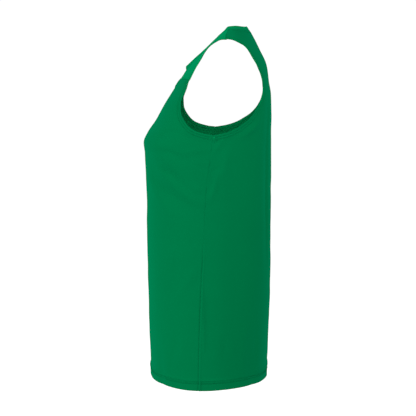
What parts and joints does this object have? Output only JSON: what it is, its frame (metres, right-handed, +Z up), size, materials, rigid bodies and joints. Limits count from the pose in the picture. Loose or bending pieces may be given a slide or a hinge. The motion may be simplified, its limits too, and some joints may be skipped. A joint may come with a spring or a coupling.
{
  "type": "sports tank top",
  "caption": "Sleeveless scoop-neck sports top in smooth stretch knit, hollow and rounded as worn, with a narrow neckband and turned hems.",
  "frame": {"origin": "midway between the two shoulder straps, at the height of their undersides, where the wearer's shoulders carry the garment", "axes": "+Z up, -Y the way the wearer faces, +X to the wearer's left"},
  "size_m": [0.3958, 0.2413, 0.6631],
  "materials": {
    "front_panel_cloth": "fine smooth polyester knit with a slight sheen, emerald green",
    "front_yoke_cloth": "fine smooth polyester knit with a slight sheen, emerald green",
    "back_panel_cloth": "fine smooth polyester knit with a slight sheen, emerald green",
    "neckband_cloth": "fine smooth polyester knit with a slight sheen, emerald green"
  },
  "bodies": {
    "root": {"front_panel": "front_panel_cloth", "front_yoke": "front_yoke_cloth", "back_panel": "back_panel_cloth", "neckband": "neckband_cloth"}
  },
  "joints": []
}
